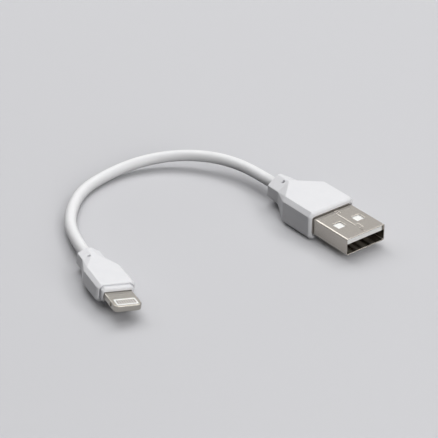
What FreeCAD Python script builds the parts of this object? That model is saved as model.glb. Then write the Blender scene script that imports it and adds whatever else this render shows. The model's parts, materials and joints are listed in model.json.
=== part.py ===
import FreeCAD, Part
import math
import os
import re
import Sketcher

# Short charging cable: a type-A plug at one end, a thin eight-contact phone plug at the other.
# Millimetres, +Z up. The origin lies on the flat underside of the type-A plug's housing, which
# rests on the table; +X points out of the type-A plug's mouth, +Y across it.
# Each plug is built about its own axis, with x = 0 where its metal end leaves the plastic.

V = FreeCAD.Vector
doc = FreeCAD.newDocument("charging_cable")
sheet = doc.addObject("Spreadsheet::Sheet", "Sizes")

SIZES = [
    # type-A plug: where its front face stands, and the block of its housing
    ("typeAFrontX", 5.6),
    ("typeAWidth", 14.2),
    ("typeAHeight", 7.6),
    ("typeATopWidth", 12.3),
    ("typeASideHeight", 5.5),
    ("typeABevel", 0.5),
    ("typeABlockLength", 10.4),
    # its waist behind the block, and the collar that grips the cable
    ("typeATaperLength", 5.7),
    ("typeACollarLength", 4.65),
    ("typeACollarWidth", 8.0),
    ("typeACollarHeight", 7.3),
    ("typeACollarSide", 3.5),
    ("typeACollarRidge", 0.9),
    ("typeARearWidth", 7.1),
    ("typeARearHeight", 7.1),
    ("typeARearSide", 3.0),
    # folded steel shell of the type-A plug
    ("shellWidth", 12.0),
    ("shellHeight", 4.5),
    ("shellWall", 0.3),
    ("shellCorner", 0.45),
    ("shellReach", 12.4),
    ("shellInside", 6.35),
    ("shellMouthBevel", 0.12),
    ("latchStart", 4.9),
    ("latchLength", 2.4),
    ("latchInner", 1.75),
    ("latchWidth", 2.45),
    ("latchCorner", 0.2),
    # seam of the folded strip along the top, with its two interlocking tabs
    ("seamGap", 0.1),
    ("rearTabStart", 0.7),
    ("rearTabLength", 1.0),
    ("frontTabStart", 8.4),
    ("frontTabLength", 1.6),
    ("tabDepth", 1.05),
    ("tabFlare", 0.15),
    # groove in the plastic round the shell
    ("shellGrooveWidth", 0.35),
    ("shellGrooveDepth", 0.5),
    # white insulator of the type-A plug and its four spring-steel strips
    ("insulatorFit", 0.02),
    ("tongueThickness", 1.84),
    ("tongueReach", 11.8),
    ("tongueSideGap", 0.15),
    ("tongueStart", 3.0),
    ("tongueLead", 0.3),
    ("stripWidth", 1.0),
    ("stripThickness", 0.3),
    ("stripProud", 0.04),
    ("innerStripPlace", 1.0),
    ("outerStripPlace", 3.5),
    ("powerStripReach", 11.2),
    ("dataStripReach", 10.2),
    ("stripHook", 0.45),
    ("stripTail", 2.1),
    # wall of the type-A housing round its inner mould
    ("typeAWall", 0.8),
    ("typeAFrontWall", 1.5),
    ("mouldRearWidth", 4.0),
    ("mouldRearSide", 1.8),
    ("mouldRearRidge", 1.2),
    # pin marks that the mould leaves in the collars
    ("pinMarkRadius", 0.45),
    ("pinMarkDepth", 0.7),
    ("pinMarkAside", 0.54),
    ("typeAPinMark", 3.5),
    ("phonePinMark", 3.3),
    # the charging cable itself
    ("cableDiameter", 3.0),
    ("jacketWall", 0.5),
    ("shieldWall", 0.12),
    ("wireDiameter", 0.7),
    ("wireGap", 0.03),
    ("jacketGrip", 5.6),
    ("phoneJacketGrip", 4.7),
    ("gripInMould", 0.4),
    ("shieldTail", 0.7),
    ("cableLead", 6.6),
    ("phoneCableLead", 7.5),
    # the wires' ends, spread out to the strips and to the board
    ("wireFanBend", 1.2),
    ("wireStraight", 0.9),
    ("wireFanLength", 3.6),
    ("wireOnStrip", 1.4),
    ("wireOnBoard", 1.6),
    ("solderRise", 0.08),
    ("boardWirePitch", 1.25),
    # phone plug: where its tip leaves the plastic, and how it lies
    ("phoneX", 1.2),
    ("phoneY", -59.4),
    ("phoneZ", 3.4),
    ("phoneYaw", -11.7),
    ("phonePitch", -2.4),
    ("phoneRoll", -9.65),
    # its housing, from the front face back to the cable
    ("phoneFront", 1.15),
    ("phoneWidth", 9.36),
    ("phoneHeight", 4.6),
    ("phoneTopWidth", 7.7),
    ("phoneSideHeight", 3.1),
    ("phoneBevel", 0.37),
    ("phoneBevelLength", 0.6),
    ("phoneBlockLength", 8.85),
    ("phoneTaperLength", 5.75),
    ("phoneCollarLength", 3.55),
    ("phoneCollarWidth", 5.7),
    ("phoneCollarHeight", 4.5),
    ("phoneCollarSide", 2.7),
    ("phoneCollarRidge", 1.2),
    ("phoneRearWidth", 5.6),
    ("phoneRearHeight", 5.0),
    ("phoneWall", 0.72),
    ("phoneMouldRearWidth", 3.7),
    ("phoneMouldRearSide", 1.6),
    ("phoneMouldRearRidge", 1.0),
    # stepped nose round the tip, in a groove of the housing
    ("noseSetback", 0.1),
    ("noseWidth", 7.8),
    ("noseHeight", 3.5),
    ("noseTopWidth", 6.4),
    ("noseSideHeight", 2.4),
    ("noseBevel", 0.3),
    ("noseDepth", 2.5),
    ("noseGrooveWidth", 0.3),
    ("noseGrooveDepth", 0.45),
    ("noseRecessGap", 0.1),
    ("noseRecessDepth", 0.35),
    # metal frame of the phone plug's tip
    ("tipWidth", 6.7),
    ("tipThickness", 1.5),
    ("tipReach", 6.65),
    ("tipCorner", 1.1),
    ("tipEdge", 0.2),
    ("flangeWidth", 7.2),
    ("flangeLength", 1.0),
    ("windowStart", 3.3),
    ("windowEnd", 6.15),
    ("windowWidth", 5.16),
    ("windowCorner", 0.45),
    ("carrierThickness", 1.0),
    ("carrierSink", 0.02),
    ("carrierRear", 0.6),
    ("dimplePlace", 4.1),
    ("dimpleLength", 0.9),
    ("dimpleHeight", 0.8),
    ("dimpleDepth", 0.3),
    # contacts of the phone plug
    ("contactPitch", 0.573),
    ("contactWidth", 0.3),
    ("contactStart", 3.8),
    ("contactEnd", 5.65),
    ("contactEdge", 0.08),
    ("contactRise", 0.02),
    ("legThickness", 0.17),
    ("legRear", 0.7),
    # circuit board of the phone plug and what is soldered to it
    ("boardThickness", 0.5),
    ("boardWidth", 5.9),
    ("boardLength", 7.3),
    ("boardGap", 0.1),
    ("boardNeckWidth", 4.4),
    ("boardNeckReach", 2.0),
    ("boardCorner", 0.4),
    ("chipLength", 2.2),
    ("chipWidth", 2.6),
    ("chipThickness", 0.45),
    ("chipEdge", 0.06),
    ("chipPlace", 5.6),
    ("transistorLength", 1.5),
    ("transistorWidth", 1.2),
    ("transistorThickness", 0.5),
    ("transistorPlace", 5.4),
    ("transistorAside", 1.3),
    ("capacitorLength", 1.0),
    ("capacitorSide", 0.5),
    ("capacitorPlace", 8.0),
    ("capacitorAside", 1.0),
]

for row, (alias, number) in enumerate(SIZES, start=1):
    sheet.set("A%d" % row, alias)
    sheet.set("B%d" % row, str(number))
    sheet.setAlias("B%d" % row, alias)
doc.recompute()


# a formula's words are names of cells in the sheet
def cells(formula):
    return re.sub(r"[A-Za-z]\w*", r"Sizes.\g<0>", formula)


def amount(formula):
    return float(sheet.evalExpression(cells(formula)))


CONTACT_COUNT = 8
# flat sides of what is round, few because the cable is long
CABLE_SIDES = 12
WIRE_SIDES = 6
PIN_MARK_SIDES = 12
# share of a straight run that a bend may take up at each end
BEND_SHARE = 0.45
NEAR = 1e-6
AXIS_X = V(1, 0, 0)
AXIS_Z = V(0, 0, 1)
typeAPlug = FreeCAD.Placement(V(amount("typeAFrontX"), 0, amount("typeAHeight / 2")), FreeCAD.Rotation())
phonePlug = FreeCAD.Placement(
    V(amount("phoneX"), amount("phoneY"), amount("phoneZ")),
    FreeCAD.Rotation(amount("phoneYaw"), amount("phonePitch"), amount("phoneRoll")),
)
nodes = []


# Building blocks

def new_body(name):
    body = doc.addObject("PartDesign::Body", name)
    body.Label = name
    return body


def sketch_on(body, role, name, offset=None):
    plane = next(item for item in body.Origin.OriginFeatures if item.Role == role)
    sketch = body.newObject("Sketcher::SketchObject", name)
    sketch.AttachmentSupport = [(plane, "")]
    sketch.MapMode = "FlatFace"
    if offset:
        sketch.setExpression("AttachmentOffset.Base.z", cells(offset))
    return sketch


# closed outline, its corners given as pairs of formulas from the sketch's origin
def draw_outline(sketch, corners):
    first = sketch.GeometryCount
    points = [V(amount(x), amount(y), 0) for x, y in corners]
    count = len(points)
    for i, point in enumerate(points):
        sketch.addGeometry(Part.LineSegment(point, points[(i + 1) % count]), False)
    for i in range(count):
        sketch.addConstraint(Sketcher.Constraint("Coincident", first + i, 2, first + (i + 1) % count, 1))
    for i, corner in enumerate(corners):
        for kind, formula in zip(("DistanceX", "DistanceY"), corner):
            place = Sketcher.Constraint(kind, -1, 1, first + i, 1, amount(formula))
            index = sketch.addConstraint(place)
            sketch.setExpression("Constraints[%d]" % index, cells(formula))


def draw_box(sketch, left, right, low, high):
    draw_outline(sketch, [(left, low), (right, low), (right, high), (left, high)])


def draw_centred_box(sketch, width, height):
    half_width = "(%s) / 2" % width
    half_height = "(%s) / 2" % height
    draw_box(sketch, "-" + half_width, half_width, "-" + half_height, half_height)


# eight-sided section, alike on all four sides: its flat top, its width, its upright side and
# its height, all given whole
def draw_octagon(sketch, top, width, side, height):
    half = ["(%s) / 2" % size for size in (top, width, side, height)]
    ridge, out, shoulder, up = half
    corners = [(ridge, up), (out, shoulder), (out, "-" + shoulder), (ridge, "-" + up)]
    corners += [("-" + x, y.replace("--", "")) for x, y in reversed(corners)]
    draw_outline(sketch, corners)


def pad(body, sketch, length, symmetric=False, backward=False):
    feature = body.newObject("PartDesign::Pad", sketch.Name + "Pad")
    feature.Profile = sketch
    feature.setExpression("Length", cells(length))
    feature.SideType = "Symmetric" if symmetric else "One side"
    feature.Reversed = backward
    doc.recompute()
    return feature


# a pocket that has to take something away
def pocket(body, sketch, length=None, symmetric=False, forward=False):
    before = body.Shape.Volume
    feature = body.newObject("PartDesign::Pocket", sketch.Name + "Pocket")
    feature.Profile = sketch
    feature.Type = "Length" if length else "ThroughAll"
    if length:
        feature.setExpression("Length", cells(length))
    feature.SideType = "Symmetric" if symmetric else "One side"
    feature.Reversed = forward
    doc.recompute()
    if not body.Shape.Volume < before:
        raise ValueError(sketch.Name + " cuts nothing")
    return feature


def edges_where(feature, test):
    return ["Edge%d" % (i + 1) for i, edge in enumerate(feature.Shape.Edges) if test(edge)]


def runs_along(edge, axis):
    ends = edge.Vertexes[-1].Point - edge.Vertexes[0].Point
    return ends.Length > NEAR and ends.cross(axis).Length < NEAR * ends.Length


def dress(body, kind, edges, size):
    base = body.Tip
    feature = body.newObject("PartDesign::" + kind, "%s%s%d" % (body.Name, kind, len(body.Group)))
    feature.Base = (base, edges)
    feature.setExpression("Radius" if kind == "Fillet" else "Size", cells(size))
    doc.recompute()
    return feature


# a piece less all that it leaves room for
def cut_by(base, tools):
    joined = doc.addObject("Part::MultiFuse", base.Name + "Tools")
    joined.Shapes = tools
    cut = doc.addObject("Part::Cut", base.Name + "Cut")
    cut.Base = base
    cut.Tool = joined
    return cut


# box soldered to the board, given its middle and the height of its underside
def box_piece(name, length, width, height, back, aside, low):
    item = doc.addObject("Part::Box", name)
    item.setExpression("Length", cells(length))
    item.setExpression("Width", cells(width))
    item.setExpression("Height", cells(height))
    corner = V(-amount("%s + %s / 2" % (back, length)), amount("%s - %s / 2" % (aside, width)), amount(low))
    item.Placement = phonePlug.multiply(FreeCAD.Placement(corner, FreeCAD.Rotation()))
    return item


def keep(item, name):
    item.Label = name
    nodes.append(item)
    return item


def feature_of(shape, name):
    item = doc.addObject("Part::Feature", name)
    item.Shape = shape
    return item


# straight form along a plug's axis, to cut room for something
def straight_form(name, plug, start, length, draw, *sizes):
    body = new_body(name)
    section = sketch_on(body, "YZ_Plane", name + "Section", start)
    draw(section, *sizes)
    pad(body, section, length)
    body.Placement = plug
    return body


def octagon_corners(x, top, width, side, height):
    ridge, out, shoulder, up = [amount("(%s) / 2" % size) for size in (top, width, side, height)]
    half = [(ridge, up), (out, shoulder), (out, -shoulder), (ridge, -up)]
    half += [(-y, z) for y, z in reversed(half)]
    return [V(x, y, z) for y, z in half]


# flat facets between two octagons: whole on the four sides that face along Y and Z, and folded
# from the first octagon's ridge to the second's shoulder on the four slanting ones
def facets_between(first, second):
    facets = []
    for i, corner in enumerate(first):
        j = (i + 1) % len(first)
        if i % 2:
            facets.append([corner, first[j], second[j], second[i]])
            continue
        ridge, shoulder = (i, j) if i % 4 == 0 else (j, i)
        facets.append([first[ridge], first[shoulder], second[shoulder]])
        facets.append([first[ridge], second[shoulder], second[ridge]])
    return facets


# block through octagon sections with facets as flat as the real ones, where a loft's would twist
def faceted_block(name, sections, plug):
    rings = [octagon_corners(amount(place), *outline) for place, outline in sections]
    polygons = [rings[0], rings[-1]]
    for first, second in zip(rings, rings[1:]):
        polygons += facets_between(first, second)
    faces = [Part.Face(Part.makePolygon(corners + corners[:1])) for corners in polygons]
    block = Part.Solid(Part.Shell(faces)).removeSplitter()
    if block.Volume <= 0:
        raise ValueError(name + " is inside out")
    item = feature_of(block, name)
    item.Placement = plug
    return item


# Route of the cable: straight runs joined by the largest arcs that the runs allow

ROUTE_MIDDLE = [
    V(-29.9, -0.8, 4.0),
    V(-37.6, -3.9, 4.1),
    V(-45.0, -9.6, 3.5),
    V(-49.6, -17.8, 2.6),
    V(-50.6, -27.2, 1.8),
    V(-47.5, -39.2, 1.5),
    V(-37.0, -49.2, 1.5),
]
typeARear = "typeABlockLength + typeATaperLength + typeACollarLength"
phoneRear = "phoneFront + phoneBlockLength + phoneTaperLength + phoneCollarLength"


def on_plug(plug, back, aside="0", above="0"):
    return plug.multVec(V(-amount(back), amount(aside), amount(above)))


cableRoute = [on_plug(typeAPlug, typeARear), on_plug(typeAPlug, typeARear + " + cableLead")]
cableRoute += ROUTE_MIDDLE
cableRoute += [on_plug(phonePlug, phoneRear + " + phoneCableLead"), on_plug(phonePlug, phoneRear)]


def unit(vector):
    return V(vector).normalize()


def corner_radius(before, corner, after):
    run = min((corner - before).Length, (after - corner).Length)
    turn = (corner - before).getAngle(after - corner)
    return BEND_SHARE * run / math.tan(turn / 2)


# list of runs (start, end) and bends (start, end, centre, axis, turn in radians)
def runs_and_bends(points, radii):
    pieces = []
    here = points[0]
    for before, corner, after, radius in zip(points, points[1:], points[2:], radii):
        arrive = unit(corner - before)
        leave = unit(after - corner)
        turn = arrive.getAngle(leave)
        reach = radius * math.tan(turn / 2)
        start = corner - arrive * reach
        end = corner + leave * reach
        centre = corner + unit(leave - arrive) * (radius / math.cos(turn / 2))
        pieces.append((here, start))
        pieces.append((start, end, centre, unit(arrive.cross(leave)), turn))
        here = end
    pieces.append((here, points[-1]))
    return pieces


# edges of the same path moved sideways, with the offset carried along without twist
def shifted_edges(pieces, offset):
    edges = []
    for piece in pieces:
        start = piece[0] + offset
        if len(piece) == 2:
            edges.append(Part.LineSegment(start, piece[1] + offset).toShape())
            continue
        centre, axis, turn = piece[2:]
        half = FreeCAD.Rotation(axis, math.degrees(turn) / 2)
        whole = FreeCAD.Rotation(axis, math.degrees(turn))
        middle = centre + half.multVec(start - centre)
        end = centre + whole.multVec(start - centre)
        edges.append(Part.Arc(start, middle, end).toShape())
        offset = whole.multVec(offset)
    return edges, offset


# section of many flat sides, its corners on the radius
def section_ring(edges, radius, sides):
    start = edges[0].valueAt(edges[0].FirstParameter)
    along = edges[0].tangentAt(edges[0].FirstParameter)
    aside = unit(along.cross(AXIS_Z))
    above = aside.cross(along)
    angles = [2 * math.pi * (i + 0.5) / sides for i in range(sides)]
    corners = [start + (aside * math.cos(a) + above * math.sin(a)) * radius for a in angles]
    return Part.Wire(Part.makePolygon(corners + corners[:1]).Edges)


def section_area(radius, sides):
    return sides / 2 * radius ** 2 * math.sin(2 * math.pi / sides)


def swept_tube(edges, radius, sides):
    return Part.Wire(edges).makePipeShell([section_ring(edges, radius, sides)], True, False)


def report_tube(name, shape, edges, area):
    expected = area * sum(edge.Length for edge in edges)
    print("%s: volume %.3f, section times length %.3f" % (name, shape.Volume, expected))


def with_grips(grip, phone_grip):
    points = list(cableRoute)
    points[0] = on_plug(typeAPlug, "%s - (%s)" % (typeARear, grip))
    points[-1] = on_plug(phonePlug, "%s - (%s)" % (phoneRear, phone_grip))
    return points


routeRadii = [corner_radius(*three) for three in zip(cableRoute, cableRoute[1:], cableRoute[2:])]
print("cable bend radii", [round(radius, 1) for radius in routeRadii])
freeLength = sum(edge.Length for edge in shifted_edges(runs_and_bends(cableRoute, routeRadii), V())[0])
print("free length between the plugs %.1f" % freeLength)


# a tube and, filled, the form that it leaves in the plastic round it
def hollow_tube(name, grip, phone_grip, outer, inner):
    edges, _ = shifted_edges(runs_and_bends(with_grips(grip, phone_grip), routeRadii), V())
    outside = swept_tube(edges, *outer)
    shape = outside.cut(swept_tube(edges, *inner))
    report_tube(name, shape, edges, section_area(*outer) - section_area(*inner))
    keep(feature_of(shape, name), name)
    return feature_of(outside, name + "_form")


# Cable

jacketSection = (amount("cableDiameter / 2"), CABLE_SIDES)
shieldSection = (amount("cableDiameter / 2 - jacketWall"), CABLE_SIDES)
boreSection = (amount("cableDiameter / 2 - jacketWall - shieldWall"), CABLE_SIDES)
stripTop = "shellHeight / 2 - shellWall - insulatorFit - tongueThickness - stripProud"


def build_wire(name, across, up, strip_place, pad_place):
    bundle = "(wireDiameter + wireGap) / 2"
    bare = " + shieldTail + wireStraight"
    points = with_grips("jacketGrip" + bare, "phoneJacketGrip" + bare)
    offset = V(0, across * amount(bundle), up * amount(bundle))
    middle, last_offset = shifted_edges(runs_and_bends(points, routeRadii), offset)
    bend = amount("wireFanBend")
    tail = "%s - jacketGrip - shieldTail - wireStraight - wireFanLength" % typeARear
    rise = "%s + stripThickness + solderRise + wireDiameter / 2" % stripTop
    strip_end = on_plug(typeAPlug, "shellInside + stripTail - wireOnStrip", strip_place, rise)
    strip_turn = on_plug(typeAPlug, tail, strip_place, rise)
    first = points[0] + offset
    second = points[0] + offset - AXIS_X * amount("wireFanBend")
    start_fan = [strip_end, strip_turn, first, second]
    board_rear = "noseDepth + noseSetback + flangeLength + boardGap + boardLength"
    lift = "boardThickness / 2 + solderRise + wireDiameter / 2"
    pad_end = on_plug(phonePlug, board_rear + " - wireOnBoard", pad_place, lift)
    pad_turn = on_plug(phonePlug, board_rear + " + wireStraight / 2", pad_place, lift)
    out = phonePlug.Rotation.multVec(AXIS_X)
    last = points[-1] + last_offset
    before_last = last - out * amount("wireFanBend")
    end_fan = [before_last, last, pad_turn, pad_end]
    middle[0] = Part.LineSegment(second, middle[0].Vertexes[-1].Point).toShape()
    middle[-1] = Part.LineSegment(middle[-1].Vertexes[0].Point, before_last).toShape()
    edges = shifted_edges(runs_and_bends(start_fan, [bend, bend]), V())[0]
    edges += middle
    edges += shifted_edges(runs_and_bends(end_fan, [bend, bend]), V())[0]
    section = (amount("wireDiameter / 2"), WIRE_SIDES)
    shape = swept_tube(edges, *section)
    report_tube(name, shape, edges, section_area(*section))
    return keep(feature_of(shape, name), name)


jacketForm = hollow_tube("cable_jacket", "jacketGrip", "phoneJacketGrip", jacketSection, shieldSection)
shieldForm = hollow_tube(
    "cable_shield",
    "jacketGrip + shieldTail",
    "phoneJacketGrip + shieldTail",
    shieldSection,
    boreSection,
)
wires = [
    build_wire("wire_power", 1, 1, "outerStripPlace", "-1.5 * boardWirePitch"),
    build_wire("wire_data_plus", 1, -1, "innerStripPlace", "-0.5 * boardWirePitch"),
    build_wire("wire_data_minus", -1, -1, "-innerStripPlace", "0.5 * boardWirePitch"),
    build_wire("wire_ground", -1, 1, "-outerStripPlace", "1.5 * boardWirePitch"),
]


# Type-A plug

def build_shell():
    body = new_body("type_a_shell")
    section = sketch_on(body, "YZ_Plane", "ShellSection", "-shellInside")
    draw_centred_box(section, "shellWidth", "shellHeight")
    pad(body, section, "shellInside + shellReach")
    dress(body, "Fillet", edges_where(body.Tip, lambda edge: runs_along(edge, AXIS_X)), "shellCorner")
    mouth = edges_where(body.Tip, lambda edge: edge.BoundBox.XMin > amount("shellReach") - NEAR)
    dress(body, "Chamfer", mouth, "shellMouthBevel")
    hollow = sketch_on(body, "YZ_Plane", "ShellHollow", "-shellInside")
    draw_centred_box(hollow, "shellWidth - 2 * shellWall", "shellHeight - 2 * shellWall")
    pocket(body, hollow, forward=True)
    inner = amount("shellWidth / 2 - shellWall")
    bore = edges_where(
        body.Tip,
        lambda edge: runs_along(edge, AXIS_X) and abs(abs(edge.Vertexes[0].Y) - inner) < NEAR,
    )
    dress(body, "Fillet", bore, "shellCorner - shellWall")
    latches = sketch_on(body, "XY_Plane", "Latches")
    latch_end = "latchStart + latchLength"
    latch_outer = "latchInner + latchWidth"
    draw_box(latches, "latchStart", latch_end, "latchInner", latch_outer)
    draw_box(latches, "latchStart", latch_end, "-(%s)" % latch_outer, "-latchInner")
    pocket(body, latches, "shellHeight * 2", symmetric=True)
    corners = edges_where(
        body.Tip,
        lambda edge: runs_along(edge, AXIS_Z) and edge.Length < amount("2 * shellWall"),
    )
    dress(body, "Fillet", corners, "latchCorner")
    seam = sketch_on(body, "XY_Plane", "Seam")
    draw_outline(seam, seam_outline())
    pocket(body, seam, "shellHeight", forward=True)
    return body


# the seam's slit: straight along the middle, round two dovetail tabs
def seam_outline():
    middle = [
        ("rearTabStart", "rearTabStart - tabFlare"),
        ("rearTabStart + rearTabLength", "rearTabStart + rearTabLength + tabFlare"),
        ("frontTabStart", "frontTabStart - tabFlare"),
        ("frontTabStart + frontTabLength", "frontTabStart + frontTabLength + tabFlare"),
    ]
    path = [("-(shellInside + seamGap)", "0", 0)]
    for i, (foot, top) in enumerate(middle):
        rise = [(foot, "0", 1), (top, "tabDepth", 1)]
        path += rise if i % 2 == 0 else [(top, "tabDepth", -1), (foot, "0", -1)]
    path.append(("shellReach + seamGap", "0", 0))
    left = [("%s - %d * seamGap / 2" % (x, side), "%s + seamGap / 2" % y) for x, y, side in path]
    right = [("%s + %d * seamGap / 2" % (x, side), "%s - seamGap / 2" % y) for x, y, side in path]
    return left + right[::-1]


def build_strip(name, place, reach):
    body = new_body(name)
    side = sketch_on(body, "XZ_Plane", name + "Side", "-(%s)" % place)
    low = stripTop
    high = "%s + stripThickness" % stripTop
    rear = "-(shellInside + stripTail)"
    draw_outline(side, [
        (rear, low),
        ("%s - stripHook" % reach, low),
        (reach, "%s + stripHook" % low),
        ("%s - stripThickness" % reach, "%s + stripHook + stripThickness" % low),
        ("%s - stripHook - stripThickness / 2" % reach, high),
        (rear, high),
    ])
    pad(body, side, "stripWidth", symmetric=True)
    body.Placement = typeAPlug
    return keep(body, name)


def build_insulator(strips):
    body = new_body("insulatorBlank")
    block = sketch_on(body, "YZ_Plane", "InsulatorBlock", "-shellInside")
    inner_width = "shellWidth - 2 * shellWall - 2 * insulatorFit"
    inner_height = "shellHeight - 2 * shellWall - 2 * insulatorFit"
    draw_centred_box(block, inner_width, inner_height)
    pad(body, block, "shellInside + tongueStart")
    long_edges = edges_where(body.Tip, lambda edge: runs_along(edge, AXIS_X))
    dress(body, "Fillet", long_edges, "shellCorner - shellWall")
    tongue = sketch_on(body, "YZ_Plane", "Tongue", "tongueStart")
    half = "shellWidth / 2 - shellWall - tongueSideGap"
    top = "shellHeight / 2 - shellWall - insulatorFit"
    draw_box(tongue, "-(%s)" % half, half, "%s - tongueThickness" % top, top)
    pad(body, tongue, "tongueReach - tongueStart")
    tip = edges_where(
        body.Tip,
        lambda edge: edge.BoundBox.XMin > amount("tongueReach") - NEAR and not runs_along(edge, AXIS_Z),
    )
    dress(body, "Chamfer", tip, "tongueLead")
    body.Placement = typeAPlug
    return keep(cut_by(body, strips), "type_a_insulator")


# sections of the housing: front bevel, block, waist and collar
typeABlock = ("typeATopWidth", "typeAWidth", "typeASideHeight", "typeAHeight")
typeACollar = ("typeACollarRidge", "typeACollarWidth", "typeACollarSide", "typeACollarHeight")
typeARearSection = ("typeACollarRidge", "typeARearWidth", "typeARearSide", "typeARearHeight")
typeASections = [
    ("0", ("typeATopWidth - typeABevel", "typeAWidth - 2 * typeABevel",
           "typeASideHeight - typeABevel", "typeAHeight - 2 * typeABevel")),
    ("-typeABevel", typeABlock),
    ("-typeABlockLength", typeABlock),
    ("-(typeABlockLength + typeATaperLength)", typeACollar),
    ("-(%s)" % typeARear, typeARearSection),
]
typeAMouldRear = "%s - jacketGrip + gripInMould" % typeARear
typeAMouldBlock = ("typeATopWidth - typeAWall", "typeAWidth - 2 * typeAWall",
                   "typeASideHeight - typeAWall", "typeAHeight - 2 * typeAWall")
typeAMouldSections = [
    ("-typeAFrontWall", typeAMouldBlock),
    ("-typeABlockLength", typeAMouldBlock),
    ("-(%s)" % typeAMouldRear, ("mouldRearRidge", "mouldRearWidth", "mouldRearSide", "mouldRearWidth")),
]


# the shell with its inside filled, to cut its seat
def filled_shell():
    body = new_body("shellSeat")
    section = sketch_on(body, "YZ_Plane", "ShellSeatSection", "-shellInside")
    draw_centred_box(section, "shellWidth", "shellHeight")
    pad(body, section, "shellInside + shellReach")
    dress(body, "Fillet", edges_where(body.Tip, lambda edge: runs_along(edge, AXIS_X)), "shellCorner")
    body.Placement = typeAPlug
    return body


# a pin mark on the collar's near roof, and its twin half a turn round the plug's axis; the roof
# there lies between the collar's first section and its rear one
def pin_marks(name, plug, rear, from_rear, collar_length, first, last):
    share = amount("%s / %s" % (from_rear, collar_length))
    sizes = [amount("%s / 2" % a) * share + amount("%s / 2" % b) * (1 - share) for a, b in zip(first, last)]
    ridge, out, shoulder, up = sizes
    outward = unit(V(0, shoulder - up, out - ridge))
    down = amount("pinMarkAside")
    drop = down * (up - shoulder) / (out - ridge)
    middle = V(-amount("%s - %s" % (rear, from_rear)), -ridge - down, up - drop)
    marks = []
    for turn in (0, 180):
        spin = FreeCAD.Rotation(AXIS_X, turn)
        mark = doc.addObject("Part::Prism", "%s%d" % (name, turn))
        mark.Polygon = PIN_MARK_SIDES
        mark.setExpression("Circumradius", cells("pinMarkRadius"))
        mark.setExpression("Height", cells("2 * pinMarkDepth"))
        start = spin.multVec(middle - outward * amount("pinMarkDepth"))
        upright = FreeCAD.Rotation(AXIS_Z, spin.multVec(outward))
        mark.Placement = plug.multiply(FreeCAD.Placement(start, upright))
        marks.append(mark)
    return marks


def build_type_a_plug():
    shell = build_shell()
    shell.Placement = typeAPlug
    keep(shell, "type_a_shell")
    strips = [
        build_strip("type_a_contact_power", "outerStripPlace", "powerStripReach"),
        build_strip("type_a_contact_data_plus", "innerStripPlace", "dataStripReach"),
        build_strip("type_a_contact_data_minus", "-innerStripPlace", "dataStripReach"),
        build_strip("type_a_contact_ground", "-outerStripPlace", "powerStripReach"),
    ]
    build_insulator(strips)
    seat = filled_shell()
    mould = faceted_block("typeAMouldBlank", typeAMouldSections, typeAPlug)
    keep(cut_by(mould, [seat, jacketForm, shieldForm] + strips + wires), "type_a_inner_mould")
    groove = straight_form(
        "shellGroove",
        typeAPlug,
        "-shellGrooveDepth",
        "2 * shellGrooveDepth",
        draw_centred_box,
        "shellWidth + 2 * shellGrooveWidth",
        "shellHeight + 2 * shellGrooveWidth",
    )
    marks = pin_marks("typeAPinMark", typeAPlug, typeARear, "typeAPinMark", "typeACollarLength",
                      typeACollar, typeARearSection)
    housing = faceted_block("typeAHousingBlank", typeASections, typeAPlug)
    keep(cut_by(housing, [mould, seat, groove, jacketForm] + marks), "type_a_housing")


# Phone plug

phoneBlock = ("phoneTopWidth", "phoneWidth", "phoneSideHeight", "phoneHeight")
phoneCollar = ("phoneCollarRidge", "phoneCollarWidth", "phoneCollarSide", "phoneCollarHeight")
phoneRearSection = ("phoneCollarRidge", "phoneRearWidth", "phoneCollarSide", "phoneRearHeight")
phoneSections = [
    ("-phoneFront", ("phoneTopWidth - phoneBevel", "phoneWidth - 2 * phoneBevel",
                     "phoneSideHeight - phoneBevel", "phoneHeight - 2 * phoneBevel")),
    ("-(phoneFront + phoneBevelLength)", phoneBlock),
    ("-(phoneFront + phoneBlockLength)", phoneBlock),
    ("-(phoneFront + phoneBlockLength + phoneTaperLength)", phoneCollar),
    ("-(%s)" % phoneRear, phoneRearSection),
]
phoneMouldBlock = ("phoneTopWidth - phoneWall", "phoneWidth - 2 * phoneWall",
                   "phoneSideHeight - phoneWall", "phoneHeight - 2 * phoneWall")
phoneMouldSections = [
    ("-(noseDepth + noseSetback)", phoneMouldBlock),
    ("-(phoneFront + phoneBlockLength)", phoneMouldBlock),
    ("-(%s - phoneJacketGrip + gripInMould)" % phoneRear,
     ("phoneMouldRearRidge", "phoneMouldRearWidth", "phoneMouldRearSide", "phoneMouldRearWidth")),
]
noseOutline = ("noseTopWidth", "noseWidth", "noseSideHeight", "noseHeight")
noseSections = [
    ("-noseSetback", ("noseTopWidth - noseBevel", "noseWidth - 2 * noseBevel",
                      "noseSideHeight - noseBevel", "noseHeight - 2 * noseBevel")),
    ("-(noseSetback + noseBevel)", noseOutline),
    ("-(noseSetback + noseDepth)", noseOutline),
]
flangeRear = "noseSetback + noseDepth + flangeLength"


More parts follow.
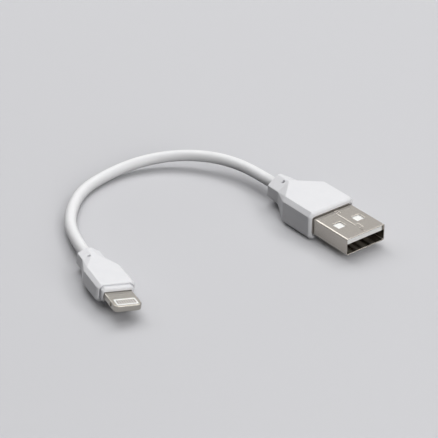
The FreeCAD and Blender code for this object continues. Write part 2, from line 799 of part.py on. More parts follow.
def build_tip_frame():
    body = new_body("phone_tip_frame")
    section = sketch_on(body, "YZ_Plane", "TipSection", "-(noseSetback + noseDepth)")
    draw_centred_box(section, "tipWidth", "tipThickness")
    pad(body, section, "noseSetback + noseDepth + tipReach")
    corners = edges_where(
        body.Tip,
        lambda edge: runs_along(edge, AXIS_Z) and edge.Vertexes[0].X > amount("tipReach") - NEAR,
    )
    dress(body, "Fillet", corners, "tipCorner")
    long_edges = edges_where(body.Tip, lambda edge: runs_along(edge, AXIS_X))
    dress(body, "Fillet", long_edges, "tipEdge")
    flange = sketch_on(body, "YZ_Plane", "TipFlange", "-(%s)" % flangeRear)
    draw_centred_box(flange, "flangeWidth", "tipThickness")
    pad(body, flange, "flangeLength")
    hollow = sketch_on(body, "YZ_Plane", "TipHollow", "-(%s)" % flangeRear)
    draw_centred_box(hollow, "windowWidth", "carrierThickness")
    pocket(body, hollow, flangeRear + " + windowEnd", forward=True)
    window = sketch_on(body, "XY_Plane", "TipWindow")
    draw_box(window, "windowStart", "windowEnd", "-windowWidth / 2", "windowWidth / 2")
    pocket(body, window, "2 * tipThickness", symmetric=True)
    rear_corners = edges_where(
        body.Tip,
        lambda edge: runs_along(edge, AXIS_Z) and edge.Length < amount("tipThickness - carrierThickness")
        and abs(edge.Vertexes[0].X - amount("windowStart")) < NEAR,
    )
    dress(body, "Fillet", rear_corners, "windowCorner")
    for side in (-1, 1):
        dimple = sketch_on(body, "XZ_Plane", "Dimple%s" % ("Left" if side > 0 else "Right"),
                           "%d * (tipWidth / 2 - dimpleDepth)" % side)
        draw_box(dimple, "dimplePlace - dimpleLength / 2", "dimplePlace + dimpleLength / 2",
                 "-dimpleHeight / 2", "dimpleHeight / 2")
        pocket(body, dimple, "dimpleDepth * 2", forward=side > 0)
    body.Placement = phonePlug
    return keep(body, "phone_tip_frame")


def build_contact(name, number, above):
    body = new_body(name)
    place = "%s * contactPitch" % (number - (CONTACT_COUNT + 1) / 2)
    side = sketch_on(body, "XZ_Plane", name + "Side", "-(%s)" % place)
    sign = "" if above else "-"
    low = sign + "(boardThickness / 2)"
    leg = sign + "(boardThickness / 2 + legThickness)"
    top = sign + "(tipThickness / 2 - contactRise)"
    draw_outline(side, [
        ("legRear", low),
        ("contactEnd", low),
        ("contactEnd", top),
        ("contactStart", top),
        ("contactStart", leg),
        ("legRear", leg),
    ])
    pad(body, side, "contactWidth", symmetric=True)
    rounded = edges_where(
        body.Tip,
        lambda edge: runs_along(edge, AXIS_Z) and edge.Vertexes[0].X > amount("contactStart") - NEAR,
    )
    dress(body, "Chamfer", rounded, "contactEdge")
    body.Placement = phonePlug
    return keep(body, name)


def build_board():
    body = new_body("phone_board")
    face = sketch_on(body, "XY_Plane", "BoardOutline")
    shoulder = "-(%s + boardGap)" % flangeRear
    rear = "-(%s + boardGap + boardLength)" % flangeRear
    draw_outline(face, [
        (rear, "-boardWidth / 2"),
        (shoulder, "-boardWidth / 2"),
        (shoulder, "-boardNeckWidth / 2"),
        ("boardNeckReach", "-boardNeckWidth / 2"),
        ("boardNeckReach", "boardNeckWidth / 2"),
        (shoulder, "boardNeckWidth / 2"),
        (shoulder, "boardWidth / 2"),
        (rear, "boardWidth / 2"),
    ])
    pad(body, face, "boardThickness", symmetric=True)
    corners = edges_where(
        body.Tip,
        lambda edge: runs_along(edge, AXIS_Z) and abs(edge.Vertexes[0].X - amount(rear)) < NEAR,
    )
    dress(body, "Fillet", corners, "boardCorner")
    body.Placement = phonePlug
    return keep(body, "phone_board")


def build_carrier(inserts):
    body = new_body("carrierBlank")
    slab = sketch_on(body, "XY_Plane", "CarrierSlab")
    draw_box(slab, "-carrierRear", "windowEnd", "-windowWidth / 2", "windowWidth / 2")
    pad(body, slab, "carrierThickness", symmetric=True)
    window = sketch_on(body, "XY_Plane", "CarrierWindow")
    draw_box(window, "windowStart", "windowEnd", "-windowWidth / 2", "windowWidth / 2")
    pad(body, window, "tipThickness - 2 * carrierSink", symmetric=True)
    corners = edges_where(
        body.Tip,
        lambda edge: runs_along(edge, AXIS_Z) and edge.Length < amount("tipThickness - carrierThickness")
        and abs(edge.Vertexes[0].X - amount("windowStart")) < NEAR,
    )
    dress(body, "Fillet", corners, "windowCorner")
    body.Placement = phonePlug
    return keep(cut_by(body, inserts), "phone_contact_carrier")


# small parts soldered on either face of the board
def build_components():
    board_top = "boardThickness / 2"
    chip = box_piece(
        "controllerBlank",
        "chipLength",
        "chipWidth",
        "chipThickness",
        "chipPlace",
        "0",
        board_top,
    )
    soften = doc.addObject("Part::Chamfer", "controllerEdges")
    soften.Base = chip
    doc.recompute()
    top = amount(board_top + " + chipThickness")
    flat = phonePlug.inverse()
    upper = [i + 1 for i, edge in enumerate(chip.Shape.Edges)
             if all(abs(flat.multVec(v.Point).z - top) < NEAR for v in edge.Vertexes)]
    soften.Edges = [(i, amount("chipEdge"), amount("chipEdge")) for i in upper]
    parts = [keep(soften, "phone_controller_chip")]
    transistor = box_piece(
        "phone_power_transistor",
        "transistorLength",
        "transistorWidth",
        "transistorThickness",
        "transistorPlace",
        "transistorAside",
        "-(%s + transistorThickness)" % board_top,
    )
    parts.append(keep(transistor, "phone_power_transistor"))
    for number, aside in ((1, "-capacitorAside"), (2, "capacitorAside")):
        name = "phone_capacitor_%d" % number
        low = "-(%s + capacitorSide)" % board_top
        side = "capacitorSide"
        item = box_piece(name, "capacitorLength", side, side, "capacitorPlace", aside, low)
        parts.append(keep(item, name))
    return parts


def build_phone_plug():
    frame = build_tip_frame()
    contacts = []
    for face, above in (("top", True), ("bottom", False)):
        for number in range(1, CONTACT_COUNT + 1):
            contacts.append(build_contact("phone_contact_%s_%d" % (face, number), number, above))
    board = build_board()
    build_carrier(contacts + [board])
    components = build_components()
    flange_room = straight_form("flangeRoom", phonePlug, "-(%s)" % flangeRear, "flangeLength",
                                draw_centred_box, "windowWidth", "carrierThickness")
    mould = faceted_block("phoneMouldBlank", phoneMouldSections, phonePlug)
    inside = [flange_room, frame, board] + components + [jacketForm, shieldForm] + wires
    keep(cut_by(mould, inside), "phone_inner_mould")
    nose = faceted_block("noseBlank", noseSections, phonePlug)
    recess = straight_form(
        "noseRecess",
        phonePlug,
        "-(noseSetback + noseRecessDepth)",
        "2 * noseRecessDepth",
        draw_centred_box,
        "tipWidth + 2 * noseRecessGap",
        "tipThickness + 2 * noseRecessGap",
    )
    tip_room = straight_form("tipRoom", phonePlug, "-(noseSetback + noseDepth)", "noseSetback + noseDepth",
                             draw_centred_box, "windowWidth", "carrierThickness")
    keep(cut_by(nose, [recess, frame, tip_room]), "phone_nose")
    groove = straight_form(
        "noseGroove",
        phonePlug,
        "-(phoneFront + noseGrooveDepth)",
        "2 * noseGrooveDepth",
        draw_octagon,
        "noseTopWidth + noseGrooveWidth",
        "noseWidth + 2 * noseGrooveWidth",
        "noseSideHeight + noseGrooveWidth",
        "noseHeight + 2 * noseGrooveWidth",
    )
    marks = pin_marks("phonePinMark", phonePlug, phoneRear, "phonePinMark", "phoneCollarLength",
                      phoneCollar, phoneRearSection)
    housing = faceted_block("phoneHousingBlank", phoneSections, phonePlug)
    keep(cut_by(housing, [mould, nose, groove, jacketForm] + marks), "phone_housing")


build_type_a_plug()
build_phone_plug()
doc.recompute()


# Checks and files

for item in doc.Objects:
    if "Invalid" in item.State or "Error" in item.State:
        raise ValueError("%s is %s" % (item.Label, item.State))
os.makedirs("parts", exist_ok=True)
for item in nodes:
    shape = item.Shape
    if shape.isNull() or not shape.isValid():
        raise ValueError(item.Label + " has no valid shape")
    print("%-28s solids %d, volume %.3f, lowest %.3f" % (
        item.Label, len(shape.Solids), shape.Volume, shape.BoundBox.ZMin))
    shape.exportStep("parts/%s.step" % item.Label)
print("%d sub-parts" % len(nodes))
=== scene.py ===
import json
import math

import bmesh
import bpy
from mathutils import Matrix, Vector


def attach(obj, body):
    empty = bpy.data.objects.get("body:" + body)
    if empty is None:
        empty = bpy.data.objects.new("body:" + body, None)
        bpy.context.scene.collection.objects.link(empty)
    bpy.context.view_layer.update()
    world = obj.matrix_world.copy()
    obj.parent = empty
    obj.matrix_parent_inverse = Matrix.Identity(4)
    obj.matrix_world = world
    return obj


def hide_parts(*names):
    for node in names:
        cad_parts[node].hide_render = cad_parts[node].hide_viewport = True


# Short charging cable: type-A plug, round white cable, thin eight-contact phone plug.
# Metres. The type-A plug points along +X, the table is z = 0.

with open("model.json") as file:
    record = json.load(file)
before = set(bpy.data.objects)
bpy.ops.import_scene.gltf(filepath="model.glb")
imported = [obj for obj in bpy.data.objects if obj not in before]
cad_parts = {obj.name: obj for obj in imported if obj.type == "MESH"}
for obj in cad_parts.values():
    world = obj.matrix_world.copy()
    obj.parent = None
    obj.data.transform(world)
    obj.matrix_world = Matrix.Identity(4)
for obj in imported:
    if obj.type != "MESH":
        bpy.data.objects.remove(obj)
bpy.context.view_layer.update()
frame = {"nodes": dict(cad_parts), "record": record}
print("frame loaded,", len(frame["nodes"]), "nodes")

mm = 0.001

meshing = {
    "mergeWithin": 0.001,       # mm, between points that are one
    "flatWithin": 0.5,          # degrees, between faces that are one
    "overrun": 1.0,             # mm that a cutter stands past the face it opens
    "boreSides": 48,
}


# camera

photoCamera = {
    "heading": 143.635,                    # degrees, the way it looks, anticlockwise from +X
    "dip": 30.406,                         # degrees below level
    "roll": 0.739,
    "target": (-16.456, -17.882, 0.0),     # mm, on the table
    "distance": 366.69,                    # mm
    "lens": 121.05,
    "sensor": 36.0,
    "nearClip": 0.01,                      # metres
}


def addCamera(view):
    heading, dip, roll = (math.radians(view[key]) for key in ("heading", "dip", "roll"))
    forward = Vector((math.cos(heading) * math.cos(dip), math.sin(heading) * math.cos(dip), -math.sin(dip)))
    right = Vector((math.sin(heading), -math.cos(heading), 0))
    down = forward.cross(right)
    rolledRight = right * math.cos(roll) + down * math.sin(roll)
    rolledDown = down * math.cos(roll) - right * math.sin(roll)
    place = Vector(view["target"]) * mm - forward * view["distance"] * mm
    camera = bpy.data.objects.new("camera", bpy.data.cameras.new("camera"))
    camera.data.lens = view["lens"]
    camera.data.sensor_width = view["sensor"]
    camera.data.clip_start = view["nearClip"]
    axes = Matrix((rolledRight, -rolledDown, -forward)).transposed().to_4x4()
    camera.matrix_world = Matrix.Translation(place) @ axes
    bpy.context.scene.collection.objects.link(camera)
    bpy.context.scene.camera = camera


addCamera(photoCamera)
print("camera placed")


# working shapes

def mergedShape(mesh):
    # a working copy with the points that lie on one another merged
    shape = bmesh.new()
    shape.from_mesh(mesh)
    bmesh.ops.remove_doubles(shape, verts=shape.verts, dist=meshing["mergeWithin"] * mm)
    return shape


def joinFlatFaces(shape):
    bmesh.ops.dissolve_limit(shape, angle_limit=math.radians(meshing["flatWithin"]),
                             verts=shape.verts, edges=shape.edges)


def storeShape(shape, mesh):
    shape.to_mesh(mesh)
    shape.free()
    return mesh


# cable

cable = {
    "diameter": 3.0,        # mm
    "inCollar": 1.2,        # mm of each end inside its collar
    "ringSteps": 10,
    "stepsPerRun": 24,
    "route": [              # metres, collar to collar
        (-0.01515, 0.0, 0.0038),
        (-0.02175, 0.0, 0.0038),
        (-0.0299, -0.0008, 0.0040),
        (-0.0376, -0.0039, 0.0041),
        (-0.0450, -0.0096, 0.0035),
        (-0.0496, -0.0178, 0.0026),
        (-0.0506, -0.0272, 0.0018),
        (-0.0475, -0.0392, 0.0015),
        (-0.0370, -0.0492, 0.0015),
        (-0.02502, -0.05397, 0.00227),
        (-0.01768, -0.05549, 0.00259),
    ],
}


def splineMesh(points, radius):
    # what the control points draw: with no radius a bare line, otherwise a tube with loose end caps
    curve = bpy.data.curves.new("cable", "CURVE")
    curve.dimensions = "3D"
    spline = curve.splines.new("NURBS")
    spline.points.add(len(points) - 1)
    for target, point in zip(spline.points, points):
        target.co = (*point, 1)
    spline.order_u = 3
    spline.use_endpoint_u = True
    spline.resolution_u = cable["stepsPerRun"]
    curve.bevel_depth = radius
    curve.bevel_resolution = cable["ringSteps"]
    curve.use_fill_caps = True
    holder = bpy.data.objects.new("cable", curve)
    mesh = bpy.data.meshes.new_from_object(holder)
    bpy.data.objects.remove(holder)
    bpy.data.curves.remove(curve)
    return mesh


def addCable(size):
    points = [Vector(point) for point in size["route"]]
    points[0] -= (points[1] - points[0]).normalized() * size["inCollar"] * mm
    points[-1] += (points[-1] - points[-2]).normalized() * size["inCollar"] * mm
    middle = splineMesh(points, 0)
    bpy.data.meshes.remove(middle)
    tube = splineMesh(points, size["diameter"] / 2 * mm)
    storeShape(mergedShape(tube), tube)         # joins the end caps to the tube
    piece = bpy.data.objects.new("cable", tube)
    bpy.context.scene.collection.objects.link(piece)
    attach(piece, "root")
    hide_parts("cable_jacket", "cable_shield", "wire_power", "wire_data_plus", "wire_data_minus",
                "wire_ground")
    return piece


cablePiece = addCable(cable)
print("cable laid")


# meshes of the moulded parts, built in each plug's own frame: x = 0 where its metal end leaves the plastic

plugFrames = {      # metres and degrees
    "typeA": Matrix.Translation((0.0056, 0.0, 0.0038)),
    "phone": Matrix.Translation((0.0012, -0.0594, 0.0034))
             @ Matrix.Rotation(math.radians(-11.7), 4, "Z")
             @ Matrix.Rotation(math.radians(-2.4), 4, "Y")
             @ Matrix.Rotation(math.radians(-9.65), 4, "X"),
}


def octagon(top, width, side, height):
    # eight corners (y, z): flat top, whole width, upright side, whole height
    ridge, out, shoulder, up = (size / 2 for size in (top, width, side, height))
    quarter = [(ridge, up), (out, shoulder), (out, -shoulder), (ridge, -up)]
    return quarter + [(-y, z) for y, z in reversed(quarter)]


def roundedBox(width, height, corner, steps=6):
    outline = []
    for turn, (sideY, sideZ) in enumerate(((1, 1), (-1, 1), (-1, -1), (1, -1))):
        for step in range(steps + 1):
            angle = math.radians(90) * (turn + step / steps)
            outline.append((sideY * (width / 2 - corner) + corner * math.cos(angle),
                            sideZ * (height / 2 - corner) + corner * math.sin(angle)))
    return outline


def ring(radius, sides):
    angles = [2 * math.pi * i / sides for i in range(sides)]
    return [(radius * math.cos(angle), radius * math.sin(angle)) for angle in angles]


def foldedFacets(near, far):
    # between two octagons the slanting sides fold from the nearer ridge to the further shoulder
    for i in range(0, len(near), 2):
        ridge, shoulder = (i, i + 1) if i % 4 == 0 else (i + 1, i)
        yield near[ridge], near[shoulder], far[shoulder]
        yield near[ridge], far[shoulder], far[ridge]
        j = (i + 2) % len(near)
        yield near[i + 1], near[j], far[j], far[i + 1]


def straightFacets(near, far):
    for i in range(len(near)):
        j = (i + 1) % len(near)
        yield near[i], near[j], far[j], far[i]


def loftMesh(name, sections, place):
    # closed skin through outlines (y, z) that stand at each x, all in mm
    shape = bmesh.new()
    rings = [[shape.verts.new((x * mm, y * mm, z * mm)) for y, z in outline] for x, outline in sections]
    facets = foldedFacets if len(rings[0]) == 8 else straightFacets
    for near, far in zip(rings, rings[1:]):
        for corners in facets(near, far):
            shape.faces.new(corners)
    shape.faces.new(rings[0])
    shape.faces.new(rings[-1])
    joinFlatFaces(shape)
    bmesh.ops.recalc_face_normals(shape, faces=shape.faces)
    shape.transform(place)
    return storeShape(shape, bpy.data.meshes.new(name))


def frontCutter(name, depth, outline, place):
    # takes one outline away from the front face back to a depth
    return loftMesh(name, [(-depth, outline), (meshing["overrun"], outline)], place)


def boreCutter(front, rear, place):
    # the cable's way through a collar
    outline = ring(cable["diameter"] / 2, meshing["boreSides"])
    past = meshing["overrun"]
    return loftMesh("bore", [(past - front, outline), (-rear - past, outline)], place)


def addPiece(name, mesh):
    piece = bpy.data.objects.new(name, mesh)
    bpy.context.scene.collection.objects.link(piece)
    return piece


def carve(name, blank, cutters, edge):
    # rounds the blank's edges, cuts the other meshes from it and leaves a plain mesh
    piece = addPiece(name, blank)
    bevel = piece.modifiers.new("edges", "BEVEL")
    bevel.width = edge["radius"] * mm
    bevel.segments = edge["steps"]
    bevel.limit_method = "ANGLE"
    bevel.angle_limit = math.radians(edge["fromAngle"])
    bevel.use_clamp_overlap = edge.get("clamped", True)
    tools = [addPiece(name + "Cutter", mesh) for mesh in cutters]
    for tool in tools:
        cut = piece.modifiers.new("cut", "BOOLEAN")
        cut.operation = "DIFFERENCE"
        cut.solver = "EXACT"
        cut.object = tool
    piece.modifiers.new("flatFaces", "WEIGHTED_NORMAL").keep_sharp = True
    for face in blank.polygons:
        face.use_smooth = True
    solid = bpy.data.meshes.new_from_object(piece.evaluated_get(bpy.context.evaluated_depsgraph_get()))
    piece.modifiers.clear()
    piece.data = solid
    solid.name = name
    for tool in tools:
        bpy.data.objects.remove(tool)
    return piece


# housing of the type-A plug

typeAHousing = {
    "block": (12.3, 14.2, 5.5, 7.6),            # mm: flat top, width, upright side, height
    "collar": (0.9, 8.0, 3.5, 7.3),
    "rear": (0.9, 7.1, 3.0, 7.1),
    "frontBevel": 0.5,
    "blockLength": 10.4,
    "taperLength": 5.7,
    "collarLength": 4.65,
    "markFromRear": 3.3,
    "markBelowRidge": 0.75,
    "wall": 0.8,
    "frontWall": 1.5,
    "mouldRear": (1.2, 4.0, 1.8, 4.0),
    "mouldRearPlace": 15.55,
    "shell": (12.0, 4.5, 0.45),                 # width, height, corner
    "shellInside": 6.35,
    "grooveWidth": 0.35,
    "grooveDepth": 0.5,
    "edge": {"radius": 0.18, "steps": 4, "fromAngle": 9},
}


def shrunk(section, amount):
    top, width, side, height = section
    return (top - amount, width - 2 * amount, side - amount, height - 2 * amount)


def addTypeAHousing(size):
    place = plugFrames["typeA"]
    bevel = size["frontBevel"]
    rear = size["blockLength"] + size["taperLength"] + size["collarLength"]
    blank = loftMesh("typeABlank", [
        (0, octagon(*shrunk(size["block"], bevel))),
        (-bevel, octagon(*size["block"])),
        (-size["blockLength"], octagon(*size["block"])),
        (-size["blockLength"] - size["taperLength"], octagon(*size["collar"])),
        (-rear, octagon(*size["rear"])),
    ], place)
    width, height, corner = size["shell"]
    wide = 2 * size["grooveWidth"]
    inner = shrunk(size["block"], size["wall"])
    groove = roundedBox(width + wide, height + wide, corner + wide / 2)
    cutters = [
        frontCutter("groove", size["grooveDepth"], groove, place),
        frontCutter("seat", size["shellInside"], roundedBox(width, height, corner), place),
        loftMesh("hollow", [(-size["frontWall"], octagon(*inner)), (-size["blockLength"], octagon(*inner)),
                            (-size["mouldRearPlace"], octagon(*size["mouldRear"]))], place),
        boreCutter(size["mouldRearPlace"], rear, place),
    ]
    cutters += pinMarks(place, rear, size)
    piece = carve("housing_type_a", blank, cutters, size["edge"])
    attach(piece, "root")
    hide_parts("type_a_housing")
    return piece


# round marks that the mould's pins leave on the collar's roof, two half a turn apart

pinMark = {"radius": 0.45, "depth": 0.8, "sides": 32}


def pinMarks(place, rear, size):
    share = size["markFromRear"] / size["collarLength"]
    between = [(a * share + b * (1 - share)) / 2 for a, b in zip(size["collar"], size["rear"])]
    ridge, out, shoulder, up = between
    slope = math.atan2(up - shoulder, out - ridge)
    down = size["markBelowRidge"]
    middle = Vector((size["markFromRear"] - rear, -ridge - down, up - down * math.tan(slope))) * mm
    outline = ring(pinMark["radius"], pinMark["sides"])
    marks = []
    for turn in (0, 180):
        stand = (place @ Matrix.Rotation(math.radians(turn), 4, "X") @ Matrix.Translation(middle)
                 @ Matrix.Rotation(slope, 4, "X") @ Matrix.Rotation(math.radians(-90), 4, "Y"))
        marks.append(frontCutter("pinMark", pinMark["depth"], outline, stand))
    return marks


# housing and stepped nose of the phone plug

phoneHousing = {
    "block": (7.7, 9.36, 3.1, 4.6),
    "collar": (1.2, 5.7, 2.7, 4.5),
    "rear": (1.2, 5.6, 2.7, 5.0),
    "front": 1.15,
    "frontBevel": 0.37,
    "frontBevelLength": 0.6,
    "blockLength": 8.85,
    "taperLength": 5.75,
    "collarLength": 3.55,
    "markFromRear": 3.3,
    "markBelowRidge": 0.54,
    "wall": 0.72,
    "hollowFront": 2.59,                        # a hair in front of the inner mould
    "mouldRear": (1.0, 3.7, 1.6, 3.7),
    "mouldRearPlace": 15.0,
    "edge": {"radius": 0.15, "steps": 4, "fromAngle": 8},
}
phoneNose = {
    "outline": (6.4, 7.8, 2.4, 3.5),
    "setback": 0.1,
    "bevel": 0.3,
    "depth": 2.5,
    "grooveWidth": 0.3,
    "grooveDepth": 0.45,
    "recessGap": 0.1,
    "recessDepth": 0.35,
    "tip": (6.7, 1.5, 0.2),                     # width, thickness, corner
    "edge": {"radius": 0.12, "steps": 3, "fromAngle": 15},
}


def addPhoneHousing(size, nose):
    place = plugFrames["phone"]
    front = size["front"]
    rear = front + size["blockLength"] + size["taperLength"] + size["collarLength"]
    blank = loftMesh("phoneBlank", [
        (-front, octagon(*shrunk(size["block"], size["frontBevel"]))),
        (-front - size["frontBevelLength"], octagon(*size["block"])),
        (-front - size["blockLength"], octagon(*size["block"])),
        (-front - size["blockLength"] - size["taperLength"], octagon(*size["collar"])),
        (-rear, octagon(*size["rear"])),
    ], place)
    inner = shrunk(size["block"], size["wall"])
    groove = octagon(*shrunk(nose["outline"], -nose["grooveWidth"]))
    cutters = [
        frontCutter("groove", front + nose["grooveDepth"], groove, place),
        frontCutter("seat", nose["setback"] + nose["depth"], octagon(*nose["outline"]), place),
        loftMesh("hollow", [(-size["hollowFront"], octagon(*inner)),
                            (-front - size["blockLength"], octagon(*inner)),
                            (-size["mouldRearPlace"], octagon(*size["mouldRear"]))], place),
        boreCutter(size["mouldRearPlace"], rear, place),
    ]
    cutters += pinMarks(place, rear, size)
    piece = carve("housing_phone", blank, cutters, size["edge"])
    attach(piece, "root")
    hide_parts("phone_housing")
    return piece


def addPhoneNose(size):
    place = plugFrames["phone"]
    bevel = size["bevel"]
    blank = loftMesh("noseBlank", [
        (-size["setback"], octagon(*shrunk(size["outline"], bevel))),
        (-size["setback"] - bevel, octagon(*size["outline"])),
        (-size["setback"] - size["depth"], octagon(*size["outline"])),
    ], place)
    width, height, corner = size["tip"]
    wide = 2 * size["recessGap"]
    recess = roundedBox(width + wide, height + wide, corner + wide / 2)
    hole = roundedBox(width, height, corner)
    cutters = [
        frontCutter("recess", size["setback"] + size["recessDepth"], recess, place),
        frontCutter("hole", size["setback"] + size["depth"] + meshing["overrun"], hole, place),
    ]
    piece = carve("nose_phone", blank, cutters, size["edge"])
    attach(piece, "root")
    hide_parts("phone_nose")
    return piece


whitePieces = [
    addTypeAHousing(typeAHousing),
    addPhoneHousing(phoneHousing, phoneNose),
    addPhoneNose(phoneNose),
]
print("housings moulded")


# metal parts: copies of the CAD shapes with broken edges, which draws a bright line along them.
# The shell's chamfers are wider than a stamped edge has, so that they show in the render.

metalEdges = {
    "type_a_shell": {
        "name": "shell_type_a",
        "slot": "nickel_steel",
        "radius": 0.13,
        "steps": 1,
        "fromAngle": 60,
        "clamped": False,       # the narrow facets in its corners don't hold the chamfer back
    },
    "phone_tip_frame": {
        "name": "frame_phone",
        "slot": "brushed_tip",
        "radius": 0.1,
        "steps": 3,
        "fromAngle": 35,
    },
}


def addEdgedCopy(node, edge):
    shape = mergedShape(frame["nodes"][node].data)
    joinFlatFaces(shape)
    piece = carve(edge["name"], storeShape(shape, bpy.data.meshes.new(edge["name"])), [], edge)
    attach(piece, "root")
    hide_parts(node)
    return piece


metalPieces = {edge["slot"]: addEdgedCopy(node, edge) for node, edge in metalEdges.items()}
print("metal edges broken")


# materials

def linearColour(code):
    channels = [int(code[i:i + 2], 16) / 255 for i in (1, 3, 5)]
    return [c / 12.92 if c <= 0.04045 else ((c + 0.055) / 1.055) ** 2.4 for c in channels] + [1.0]


def addNode(tree, kind, inputs=None, **settings):
    node = tree.nodes.new(kind)
    for name, value in settings.items():
        setattr(node, name, value)
    for key, value in (inputs or {}).items():
        if isinstance(value, bpy.types.NodeSocket):
            tree.links.new(value, node.inputs[key])
        else:
            node.inputs[key].default_value = value
    return node


def startMaterial(name):
    material = bpy.data.materials.new(name)
    material.use_nodes = True
    material.node_tree.nodes.clear()
    return material, material.node_tree


def endMaterial(tree, shader):
    addNode(tree, "ShaderNodeOutputMaterial", {"Surface": shader.outputs[0]})


noiseSpan = {"From Min": 0.3, "From Max": 0.7}      # most of a noise texture's values lie there
noiseDetail = {"cloud": 3.0, "grain": 2.0, "lines": 4.0}
bumpStrength = {"plastic": 0.5, "metal": 0.4}


def addSurface(tree, look, blend, height, strength, constants):
    # one pattern mixes the two tones and the two glosses, and a height gives the relief
    tone = addNode(tree, "ShaderNodeMix", {
        0: blend, 6: linearColour(look["light"]), 7: linearColour(look["dark"])}, data_type="RGBA")
    low, high = look["gloss"]
    gloss = addNode(tree, "ShaderNodeMapRange", {"Value": blend, "To Min": low, "To Max": high, **noiseSpan})
    relief = addNode(tree, "ShaderNodeBump", {
        "Height": height, "Strength": strength, "Distance": look["relief"] * mm})
    shader = addNode(tree, "ShaderNodeBsdfPrincipled", {
        "Base Color": tone.outputs[2], "Roughness": gloss.outputs[0],
        "Normal": relief.outputs[0], **constants})
    endMaterial(tree, shader)


# Plastics, board and chips: two close tones in soft clouds, and a fine grain in the relief.
# Cloud, grain and relief are in mm. The real grain is a few hundredths of a millimetre, and it is drawn as
# coarse as it shows. Gloss is the roughness, from the shiniest place to the dullest.
plastics = {
    # even, slightly cool white with soft wide highlights, from a fine-grained mould
    "housing_white": {"name": "mouldedAbs", "light": "#e9e9eb", "dark": "#e3e3e6", "cloud": 3.0,
                      "gloss": (0.34, 0.44), "grain": 0.14, "relief": 0.004, "ior": 1.54},
    # a little whiter and duller than the housings, as rubbery jackets are
    "cable_tpe": {"name": "extrudedTpe", "light": "#f2f2f3", "dark": "#ebebec", "cloud": 2.2,
                  "gloss": (0.40, 0.50), "grain": 0.10, "relief": 0.003, "ior": 1.50},
    # the brightest white on the object, a trace warm, that fills the windows
    "insulator_white": {"name": "mouldedNylon", "light": "#fdfdfb", "dark": "#f7f6f3", "cloud": 1.5,
                        "gloss": (0.28, 0.38), "grain": 0.12, "relief": 0.002, "ior": 1.53},
    # waxy and dull, as a low-pressure moulding comes out
    "inner_polymer": {"name": "mouldedPolyethylene", "light": "#e6e5e0", "dark": "#dad9d3", "cloud": 2.0,
                      "gloss": (0.45, 0.60), "grain": 0.20, "relief": 0.006, "ior": 1.51},
    # green lacquer over copper tracks, so its tone wanders
    "circuit_board": {"name": "solderMask", "light": "#1f5a35", "dark": "#16452a", "cloud": 0.8,
                      "gloss": (0.30, 0.40), "grain": 0.30, "relief": 0.004, "ior": 1.55},
    # near black and sandy
    "chip_black": {"name": "mouldedEpoxy", "light": "#2c2c30", "dark": "#202023", "cloud": 0.6,
                   "gloss": (0.50, 0.60), "grain": 0.08, "relief": 0.005, "ior": 1.55},
    # tan and smooth, as capacitor bodies are
    "ceramic_tan": {"name": "firedCeramic", "light": "#94714d", "dark": "#7e5e3f", "cloud": 0.4,
                    "gloss": (0.35, 0.50), "grain": 0.06, "relief": 0.004, "ior": 1.60},
}


def plasticMaterial(look):
    material, tree = startMaterial(look["name"])
    place = addNode(tree, "ShaderNodeTexCoord").outputs["Object"]
    cloud = addNode(tree, "ShaderNodeTexNoise", {
        "Vector": place, "Scale": 1 / (look["cloud"] * mm), "Detail": noiseDetail["cloud"]})
    grain = addNode(tree, "ShaderNodeTexNoise", {
        "Vector": place, "Scale": 1 / (look["grain"] * mm), "Detail": noiseDetail["grain"]})
    addSurface(tree, look, cloud.outputs[0], grain.outputs[0], bumpStrength["plastic"],
               {"IOR": look["ior"]})
    return material


# Metals: brushing draws fine lines one way, duller and brighter by turns.
# Lines are the pattern's mm along, across and through the plug, coarser than real brushing so that they show.
metals = {
    # satin sheet, warm grey, brushed along the plug
    "nickel_steel": {"name": "brushedNickelPlate", "light": "#b4afa8", "dark": "#a7a29b", "plug": "typeA",
                     "lines": (2.0, 0.07, 0.07), "gloss": (0.15, 0.22), "relief": 0.002},
    # the same plating, brushed across the tip
    "brushed_tip": {"name": "brushedNickelFrame", "light": "#b4b0a9", "dark": "#a5a199", "plug": "phone",
                    "lines": (0.07, 2.0, 0.07), "gloss": (0.16, 0.24), "relief": 0.002},
    # thin gold that lets the brown of the copper through
    "gold_contact": {"name": "goldFlashedCopper", "light": "#573f22", "dark": "#412d17", "plug": "phone",
                     "lines": (0.6, 0.08, 0.08), "gloss": (0.28, 0.42), "relief": 0.002},
}


def metalMaterial(look):
    material, tree = startMaterial(look["name"])
    place = addNode(tree, "ShaderNodeTexCoord").outputs["Object"]
    turn = plugFrames[look["plug"]].to_euler()
    along = addNode(tree, "ShaderNodeMapping", {"Vector": place, "Rotation": turn}, vector_type="TEXTURE")
    drawn = addNode(tree, "ShaderNodeMapping", {
        "Vector": along.outputs[0], "Scale": [1 / (size * mm) for size in look["lines"]]})
    lines = addNode(tree, "ShaderNodeTexNoise", {
        "Vector": drawn.outputs[0], "Scale": 1.0, "Detail": noiseDetail["lines"]}).outputs[0]
    addSurface(tree, look, lines, lines, bumpStrength["metal"], {"Metallic": 1.0})
    return material


finishes = {slot: plasticMaterial(look) for slot, look in plastics.items()}
finishes.update({slot: metalMaterial(look) for slot, look in metals.items()})


def finishNodes():
    for part in frame["record"]["subparts"]:
        finish = finishes.get(part["material_slot"])
        node = frame["nodes"][part["node"]]
        if finish and not node.hide_render:
            for slot in node.material_slots:
                slot.material = finish


for piece in whitePieces:
    piece.data.materials.clear()
    piece.data.materials.append(finishes["housing_white"])
cablePiece.data.materials.append(finishes["cable_tpe"])
for slot, piece in metalPieces.items():
    piece.data.materials.clear()
    piece.data.materials.append(finishes[slot])
finishNodes()
print("finishes given")


# studio

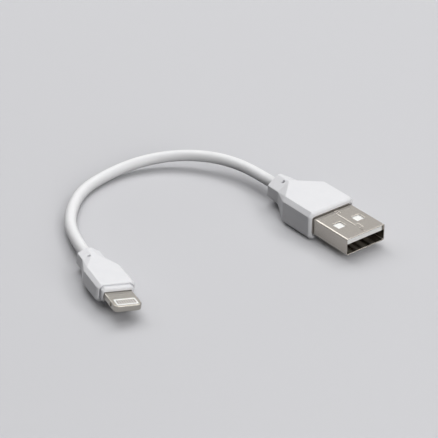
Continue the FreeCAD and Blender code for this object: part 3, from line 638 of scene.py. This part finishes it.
studio = {
    "floorSize": 4.0,               # metres
    "floorSeen": "#d0d0d3",
    "floorBounce": "#3c3c3e",
    "floorRoughness": 0.9,
    "ambient": 0.02,
    "skySeen": 0.6,
    "lamps": {
        # heading and height of the lamp over the table in degrees, distance and sides in metres, watts
        "overhead": {"heading": 270.0, "up": 82, "distance": 1.0, "sides": (0.8, 0.8), "power": 2.4},
        "highBehind": {"heading": 143.6, "up": 58, "distance": 1.0, "sides": (1.3, 0.5), "power": 6.3},
        "windowBehind": {"heading": 143.6, "up": 31, "distance": 1.0, "sides": (1.4, 0.6), "power": 1.0},
        "lowBehind": {"heading": 140.0, "up": 9, "distance": 1.2, "sides": (1.5, 0.15), "power": 1.0},
        "leftEdge": {"heading": 210.0, "up": 34, "distance": 1.0, "sides": (0.28, 0.2), "power": 0.6},
        "rightEdge": {"heading": 48.0, "up": 45, "distance": 1.0, "sides": (0.25, 0.18), "power": 0.9},
        "frontFill": {"heading": 358.0, "up": 24, "distance": 0.8, "sides": (0.5, 0.5), "power": 3.7},
    },
}


def seenDirectly(tree):
    # 1 where the camera, a mirror or a clear thing sees the surface, 0 where it only sends light on
    ray = addNode(tree, "ShaderNodeLightPath")
    seen = ray.outputs["Is Camera Ray"]
    for way in ("Is Glossy Ray", "Is Transmission Ray"):
        both = addNode(tree, "ShaderNodeMath", {0: seen, 1: ray.outputs[way]},
                       operation="ADD", use_clamp=True)
        seen = both.outputs[0]
    return seen


def addFloor():
    mesh = bpy.data.meshes.new("floor")
    half = studio["floorSize"] / 2
    corners = [(-half, -half, 0), (half, -half, 0), (half, half, 0), (-half, half, 0)]
    mesh.from_pydata(corners, [], [(0, 1, 2, 3)])
    floor = bpy.data.objects.new("floor", mesh)
    bpy.context.scene.collection.objects.link(floor)
    material, tree = startMaterial("paleFloor")
    tone = addNode(tree, "ShaderNodeMix", {
        0: seenDirectly(tree),
        6: linearColour(studio["floorBounce"]),
        7: linearColour(studio["floorSeen"]),
    }, data_type="RGBA")
    shader = addNode(tree, "ShaderNodeBsdfPrincipled", {
        "Base Color": tone.outputs[2], "Roughness": studio["floorRoughness"]})
    endMaterial(tree, shader)
    mesh.materials.append(material)


def addLamps():
    target = Vector(photoCamera["target"]) * mm
    for name, lamp in studio["lamps"].items():
        heading, up = math.radians(lamp["heading"]), math.radians(lamp["up"])
        way = Vector((math.cos(heading) * math.cos(up), math.sin(heading) * math.cos(up), math.sin(up)))
        light = bpy.data.lights.new(name, "AREA")
        light.shape = "RECTANGLE"
        light.size, light.size_y = lamp["sides"]
        light.energy = lamp["power"]
        holder = bpy.data.objects.new(name, light)
        holder.location = target + way * lamp["distance"]
        holder.rotation_euler = way.to_track_quat("Z", "Y").to_euler()
        bpy.context.scene.collection.objects.link(holder)


def addWorld():
    world = bpy.data.worlds.new("studio")
    world.use_nodes = True
    tree = world.node_tree
    tree.nodes.clear()
    strength = addNode(tree, "ShaderNodeMix", {
        0: seenDirectly(tree), 2: studio["ambient"], 3: studio["skySeen"]})
    sky = addNode(tree, "ShaderNodeBackground", {"Strength": strength.outputs[0]})
    addNode(tree, "ShaderNodeOutputWorld", {"Surface": sky.outputs[0]})
    bpy.context.scene.world = world


addFloor()
addLamps()
addWorld()
bpy.context.scene.view_settings.view_transform = "Standard"
print("studio lit")
